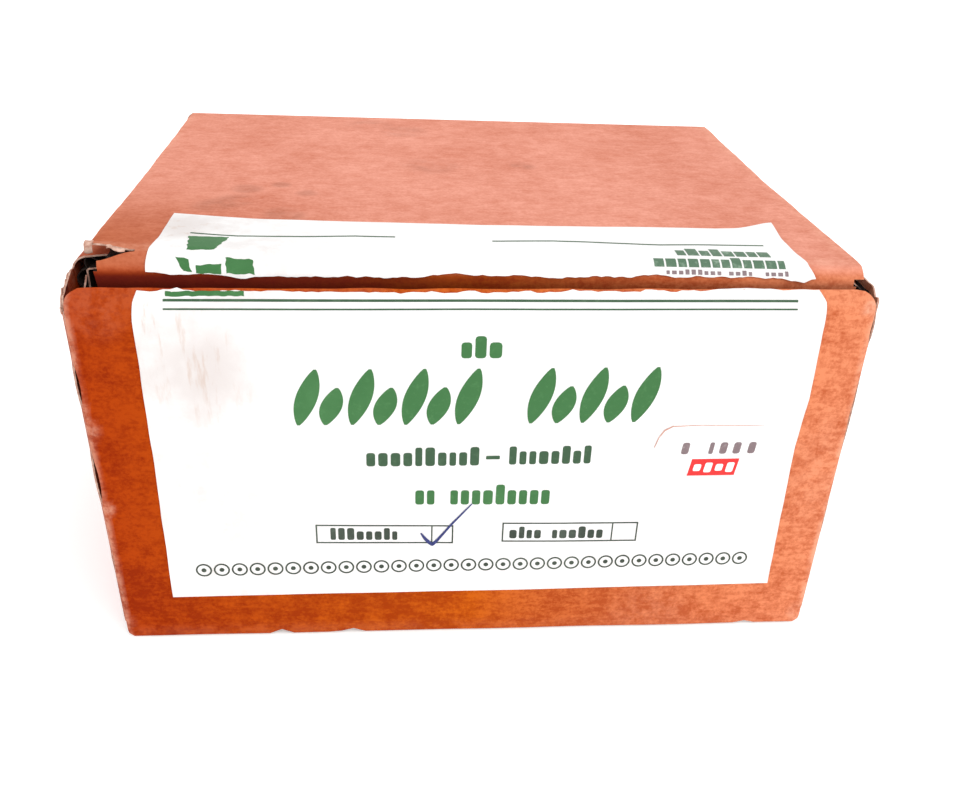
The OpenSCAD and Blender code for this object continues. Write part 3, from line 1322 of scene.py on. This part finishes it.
def shapeOn(name, place, depth, outline, columns, rows, finish):
    def above(u, v):
        return depth(u, v) - paper["proud"]
    return sheet(name, columns, rows, outline, place, above, paper["ink"], [finish])


def strokeOutline(points, widths):
    # a pen or printed line through points in mm; rows run from -1 to 1 across it
    points, widths = inMm((points, widths))

    def outline(f, g):
        at = f * (len(points) - 1)
        i = min(int(at), len(points) - 2)
        t = at - i
        (u0, v0), (u1, v1) = points[i], points[i + 1]
        size = math.hypot(u1 - u0, v1 - v0)
        half = 0.5 * (widths[i] + (widths[i + 1] - widths[i]) * t)
        acrossU, acrossV = -(v1 - v0) / size, (u1 - u0) / size
        if 0 < i and t == 0:
            (p0, q0) = points[i - 1]
            before = math.hypot(u0 - p0, v0 - q0)
            acrossU += -(v0 - q0) / before
            acrossV += (u0 - p0) / before
            size = math.hypot(acrossU, acrossV)
            acrossU, acrossV = acrossU / size, acrossV / size
        return u0 + (u1 - u0) * t + g * half * acrossU, v0 + (v1 - v0) * t + g * half * acrossV
    return outline


def leafOutline(start, foot, tall, thick, slant):
    # a slanted leaf, with g going up it
    def outline(f, g):
        half = 0.5 * thick * (0.12 + 0.88 * math.sin(math.pi * g) ** 0.8)
        v = foot + tall * g
        return start + 0.5 * thick + slant * (v - foot) + f * half, v
    return outline


def raggedBox(low, high, rough, seed):
    low, high, rough = inMm((low, high, rough))

    def outline(f, g):
        v = low[1] + (high[1] - low[1]) * g
        u = low[0] + (high[0] - low[0]) * f
        edgeU = rough * wave(v, seed, 0.9 * mm, seed) * abs(2 * f - 1)
        edgeV = rough * wave(u, seed + 5, 1.1 * mm, seed) * abs(2 * g - 1)
        return u + edgeU, v + edgeV
    return outline


marks = {
    "rules": [(79.6 * mm, 0.44 * mm), (78.05 * mm, 0.3 * mm)],      # height and width
    "ruleEnds": (-58.1 * mm, 59.8 * mm),
    "leaves": [(-37.5 * mm, 7), (8 * mm, 5)],                       # where each row starts, how many
    "leafStep": 5.2 * mm,
    "leafFoot": 53.6 * mm,
    "leafTall": (12.2 * mm, 8.2 * mm),
    "leafThick": 4.3 * mm,
    "leafSlant": 0.3,
    "rings": (-57.0 * mm, 18.3 * mm, 58.5 * mm, 18.85 * mm, 32),
    "boxTurn": -0.02,
}

onLabel = (onFront, labelDepth)

# green print on the front: two rules, a title, a line of words, a size line and rows of leaves
openArt()
ruleLeft, ruleRight = marks["ruleEnds"]
for v, wide in marks["rules"]:
    bar((ruleLeft + ruleRight) / 2, v, ruleRight - ruleLeft, wide, 0, 70)
rules = closeArt("rules", *onLabel, darkGreenInk, turn=-0.0035)
openArt()
words(-4.0, 68.0, 9.0, 4.6, 2.4, 0.6, 3)
title = closeArt("title", *onLabel, greenInk)
openArt()
words(-22.4, 44.0, 22.6, 4.3, 1.75, 0.62, 5)
block(3.0, 45.8, 2.8, 0.8, 0.2)
words(6.3, 44.1, 16.7, 4.2, 1.75, 0.62, 8)
subline = closeArt("subline", *onLabel, darkGreenInk)
openArt()
words(-12.6, 34.4, 5.3, 4.9, 1.9, 0.6, 12)
words(-5.4, 34.4, 22.2, 4.9, 1.95, 0.62, 14)
sizeLine = closeArt("sizeLine", *onLabel, greenInk, turn=-0.012)
leaves = []
for start, count in marks["leaves"]:
    for i in range(count):
        tall = marks["leafTall"][i % 2]
        left = start + i * marks["leafStep"]
        shape = leafOutline(left, marks["leafFoot"], tall, marks["leafThick"], marks["leafSlant"])
        leaves.append(shapeOn("leaf", *onLabel, shape, [-1, -0.5, 0, 0.5, 1], evenly(16), greenInk))

# two option boxes with a small square at the end of each
openArt()
boxOutline((-33.2, 24.3), (-4.6, 29.0), 0.3)
block(-9.1, 26.65, 0.28, 4.1, 0)
boxOutline((5.7, 24.8), (34.8, 29.75), 0.3)
block(29.3, 27.3, 0.28, 4.3, 0)
words(-30.2, 25.2, 14.0, 3.0, 1.35, 0.5, 21)
words(7.3, 25.7, 21.1, 3.0, 1.35, 0.5, 22, breaks=[(0.3, 0.38)])
boxes = closeArt("boxes", *onLabel, blackInk, turn=marks["boxTurn"])

openArt()
u0, v0, u1, v1, count = marks["rings"]
for i in range(count):
    share = i / (count - 1)
    u, v = u0 + (u1 - u0) * share, v0 + (v1 - v0) * share
    ring(u, v, 1.68 * mm, 0.34 * mm)
    dot(u, v, 0.52 * mm)
rings = closeArt("rings", *onLabel, blackInk)

patch = shapeOn("patch", *onLabel, raggedBox((-57.6, 80.45), (-43.7, 81.25), 0.2, 31),
                evenly(24), evenly(5), greenInk)
frontInk = joined("frontInk", [rules, title, subline, sizeLine, *leaves, boxes, rings, patch])
ridesOn(frontInk, "tube", "label_paper")

tick = [(-11.4, 27.2), (-10.6, 25.9), (-9.8, 24.9), (-9.0, 24.2), (-8.2, 25.0), (-6.8, 26.9),
        (-4.9, 29.6), (-2.7, 32.4), (-0.9, 34.6)]
tickWide = [0.3, 0.6, 0.75, 0.8, 0.65, 0.5, 0.42, 0.34, 0.2]


def overInk(u, v):
    return labelDepth(u, v) - paper["ink"]


pen = joined("penTick", [
    shapeOn("penTick", onFront, overInk, strokeOutline(tick, tickWide), evenly(48), [-1, 0, 1],
            penInk)])
ridesOn(pen, "tube", "label_paper")

# marks on the lid strip, in mm
onStrip = (onTuck, stripDepth)
stripLines = [
    [(-55, 7.85), (-46.2, 6.75), (-32.7, 7.44), (-24.2, 8.2), (-16.5, 7.9)],
    [(2.4, 7.0), (14.4, 8.0), (25.8, 7.5), (35.7, 7.0), (56.9, 8.0)],
]
stripRules = [
    shapeOn("stripRule", *onStrip, strokeOutline(points, [0.42] * 5), evenly(60), [-1, 0, 1],
            darkGreenInk) for points in stripLines]
openArt()
words(37.8, 1.3, 19.7, 3.5, 1.9, 0.4, 41, rows=5)
words(32.6, -2.3, 25.5, 2.7, 1.9, 0.4, 42, rows=5)
heading = closeArt("heading", *onStrip, paleGreenInk)
openArt()
words(34.8, -3.7, 24.0, 0.9, 0.8, 0.45, 43, breaks=[(0.45, 0.5), (0.7, 0.76)], rows=3)
small = closeArt("small", *onStrip, greyInk)


def trapezoid(corners, rough, seed):
    # foot left, foot right, head left, head right
    def outline(f, g):
        left = [a + (b - a) * g for a, b in zip(corners[0], corners[2])]
        right = [a + (b - a) * g for a, b in zip(corners[1], corners[3])]
        u, v = [a + (b - a) * f for a, b in zip(left, right)]
        shake = rough * wave(v * mm, seed, 0.9 * mm, seed) * abs(2 * f - 1)
        rise = rough * wave(u * mm, seed + 5, 1.1 * mm, seed) * abs(2 * g - 1)
        return u * mm + shake, v * mm + rise
    return outline


stripPatches = [
    [(-54.0, -0.9), (-49.2, -0.7), (-55, 5.9), (-47.6, 6)],
    [(-54.6, -4.9), (-53.2, -5.0), (-55.85, -2.4), (-53.6, -2.9)],
    [(-52.3, -5.2), (-47.9, -5.3), (-52.2, -3.9), (-47.7, -3.6)],
    [(-47.0, -5.2), (-42.0, -5.1), (-47.0, -2.5), (-42.2, -2.7)],
]
patches = [
    shapeOn("patch", *onStrip, trapezoid(corners, 0.35 * mm, 51 + i), evenly(16), evenly(10), greenInk)
    for i, corners in enumerate(stripPatches)]
stripInk = joined("stripInk", [*stripRules, heading, small, *patches])
overLidCrease(stripInk, "label_paper")

# marks on the sticker
openArt()
for u, wide in ((42.2, 1.5), (47.6, 0.9), (50.1, 1.5), (52.9, 1.5), (56.0, 1.5)):
    block(u, 47.3, wide, 2.7, 0.3)
prices = closeArt("prices", onFront, stickerDepth, greyInk, slant=0.1, foot=45 * mm)
edgeLine = [(35.9, 47.6), (36.6, 50.0), (37.6, 51.6), (39.2, 52.5), (45, 52.7), (52, 52.6), (58, 52.4)]
edgeWide = [0.1, 0.22, 0.3, 0.22, 0.14, 0.16, 0.08]
edge = shapeOn("edgeLine", onFront, stickerDepth, strokeOutline(edgeLine, edgeWide), evenly(60),
               [-1, 0, 1], brownInk)
openArt()
block(48.8, 42.75, 9.9, 4.0, 0, 6)
flash = closeArt("flash", onFront, stickerDepth, redInk, slant=0.14, foot=42.7 * mm)


def overFlash(u, v):
    return stickerDepth(u, v) - paper["ink"]


openArt()
for i in range(4):
    block(45.4 + 2.3 * i, 42.75, 1.5, 2.3 if i % 2 else 1.6, 0.2)
flashMarks = closeArt("flashMarks", onFront, overFlash, whiteInk, slant=0.14, foot=42.7 * mm)
stickerInk = joined("stickerInk", [prices, edge, flash, flashMarks])
ridesOn(stickerInk, "tube", "sticker_paper")
print("marks made")

# pale torn scraps where the slit has opened

def scrapAbove(u, v):
    return -1.35 * mm * slitOpen(u) - 0.1 * mm


scraps = []
for low, high, seed in (((-71.3, -2.6), (-69.9, -0.4), 71), ((-67.9, -1.6), (-65.0, -1.0), 72)):
    scraps.append(sheet("tornScraps", evenly(12), evenly(8), raggedBox(low, high, 0.5, seed), onTuck,
                        scrapAbove, scrapThick, [rawEdge]))
tornScraps = joined("tornScraps", scraps)
overLidCrease(tornScraps, "outer_board")
print("torn scraps made")

studio = {
    "air": 1.0,
    "floor": (0.92, 0.92, 0.92),
    "glow": 0.28,
    "drop": -0.3 * mm,         # keeps the floor's face apart from the carton's lowest faces
    "size": 6,
    "sun": {"turn": (44, 0, 40), "power": 1.1, "spread": 50},
}
bpy.ops.mesh.primitive_plane_add(size=studio["size"], location=(0, 0, studio["drop"]))
ground = bpy.context.object
ground.name = "floor"
floorPaint = Paint("floorPaint", 0.9)
floorPaint.shader.inputs["Base Color"].default_value = (*studio["floor"], 1)
floorPaint.shader.inputs["Emission Color"].default_value = (1, 1, 1, 1)
floorPaint.shader.inputs["Emission Strength"].default_value = studio["glow"]
ground.data.materials.append(floorPaint.material)

world = bpy.data.worlds.new("air")
world.use_nodes = True
bpy.context.scene.world = world
sky = next(node for node in world.node_tree.nodes if node.type == "BACKGROUND")
sky.inputs["Color"].default_value = (1, 1, 1, 1)
sky.inputs["Strength"].default_value = studio["air"]

look = studio["sun"]
bpy.ops.object.light_add(type="SUN", rotation=[math.radians(angle) for angle in look["turn"]])
lamp = bpy.context.object
lamp.name = "windowLight"
lamp.data.energy = look["power"]
lamp.data.angle = math.radians(look["spread"])

bpy.context.scene.view_settings.view_transform = "Standard"
print("stage made")
